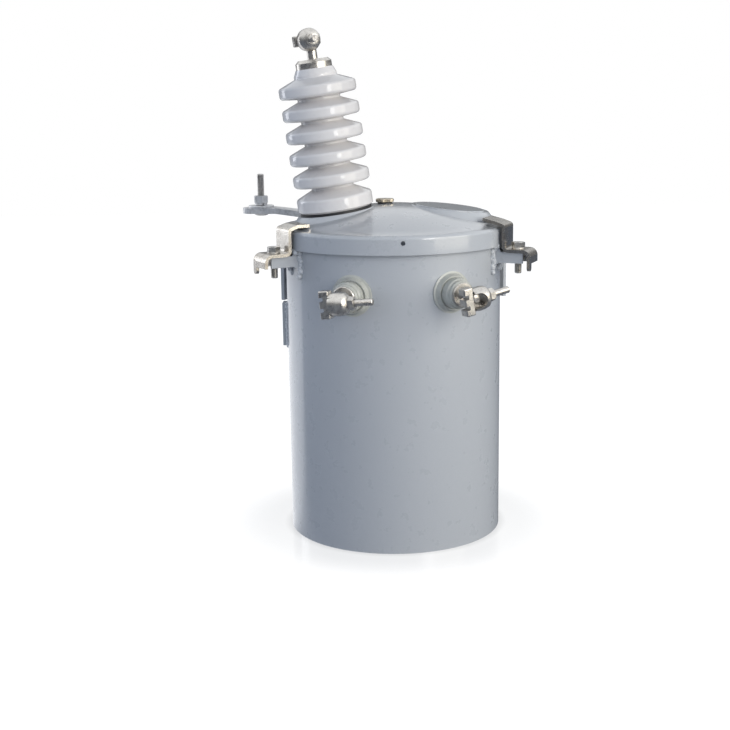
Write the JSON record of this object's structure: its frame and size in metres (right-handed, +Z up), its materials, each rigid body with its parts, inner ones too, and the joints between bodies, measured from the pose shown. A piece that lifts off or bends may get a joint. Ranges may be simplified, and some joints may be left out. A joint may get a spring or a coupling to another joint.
{
  "type": "pole mounted transformer",
  "caption": "Round tank transformer with domed cover, clamp straps, leaning ribbed bushing, side terminals and pole brackets.",
  "frame": {"origin": "on the tank's axis, in the plane of its bottom rim", "axes": "+Z up along the tank's axis, -Y towards the low-voltage terminals, +Y towards the pole"},
  "size_m": [0.4756, 0.505, 0.8266],
  "materials": {
    "tank_paint": "light grey gloss enamel over steel",
    "rubber_black": "matt black sealing rubber",
    "brass": "dull brass, knurled",
    "porcelain": "light grey glaze",
    "lv_sleeve": "grey-green satin bushing",
    "bolt_zinc": "zinc plated, slightly dull",
    "strap_steel": "bright rolled strap with worn edges",
    "galvanised": "hot-dip galvanised, mottled",
    "tinned_bronze": "tinned bronze, warm silver"
  },
  "bodies": {
    "root": {"arrester_bolt": "galvanised", "arrester_bracket": "galvanised", "arrester_nut": "galvanised", "arrester_washer": "galvanised", "clamp_back": "strap_steel", "clamp_bolt_back": "bolt_zinc", "clamp_bolt_left": "bolt_zinc", "clamp_bolt_right": "bolt_zinc", "clamp_left": "strap_steel", "clamp_nut_back": "bolt_zinc", "clamp_nut_left": "bolt_zinc", "clamp_nut_right": "bolt_zinc", "clamp_right": "strap_steel", "cover": "tank_paint", "cover_gasket": "rubber_black", "cover_plate": "tank_paint", "fill_cap": "brass", "fill_plug": "rubber_black", "ground_bar": "tank_paint", "hanger_lower": "tank_paint", "hanger_upper": "tank_paint", "hv_bushing": "porcelain", "hv_cap": "tinned_bronze", "hv_eye": "tinned_bronze", "hv_eye_nut": "tinned_bronze", "hv_gasket": "rubber_black", "hv_jaw": "tinned_bronze", "hv_stud": "tinned_bronze", "lug_back": "tank_paint", "lug_left": "tank_paint", "lug_right": "tank_paint", "lv_bushing_left": "lv_sleeve", "lv_bushing_right": "lv_sleeve", "lv_collar_left": "tank_paint", "lv_collar_right": "tank_paint", "lv_eye_left": "tinned_bronze", "lv_eye_nut_left": "tinned_bronze", "lv_eye_nut_right": "tinned_bronze", "lv_eye_right": "tinned_bronze", "lv_jaw_left": "tinned_bronze", "lv_jaw_right": "tinned_bronze", "lv_stud_left": "tinned_bronze", "lv_stud_right": "tinned_bronze", "tank_floor": "tank_paint", "tank_wall": "tank_paint"}
  },
  "joints": []
}
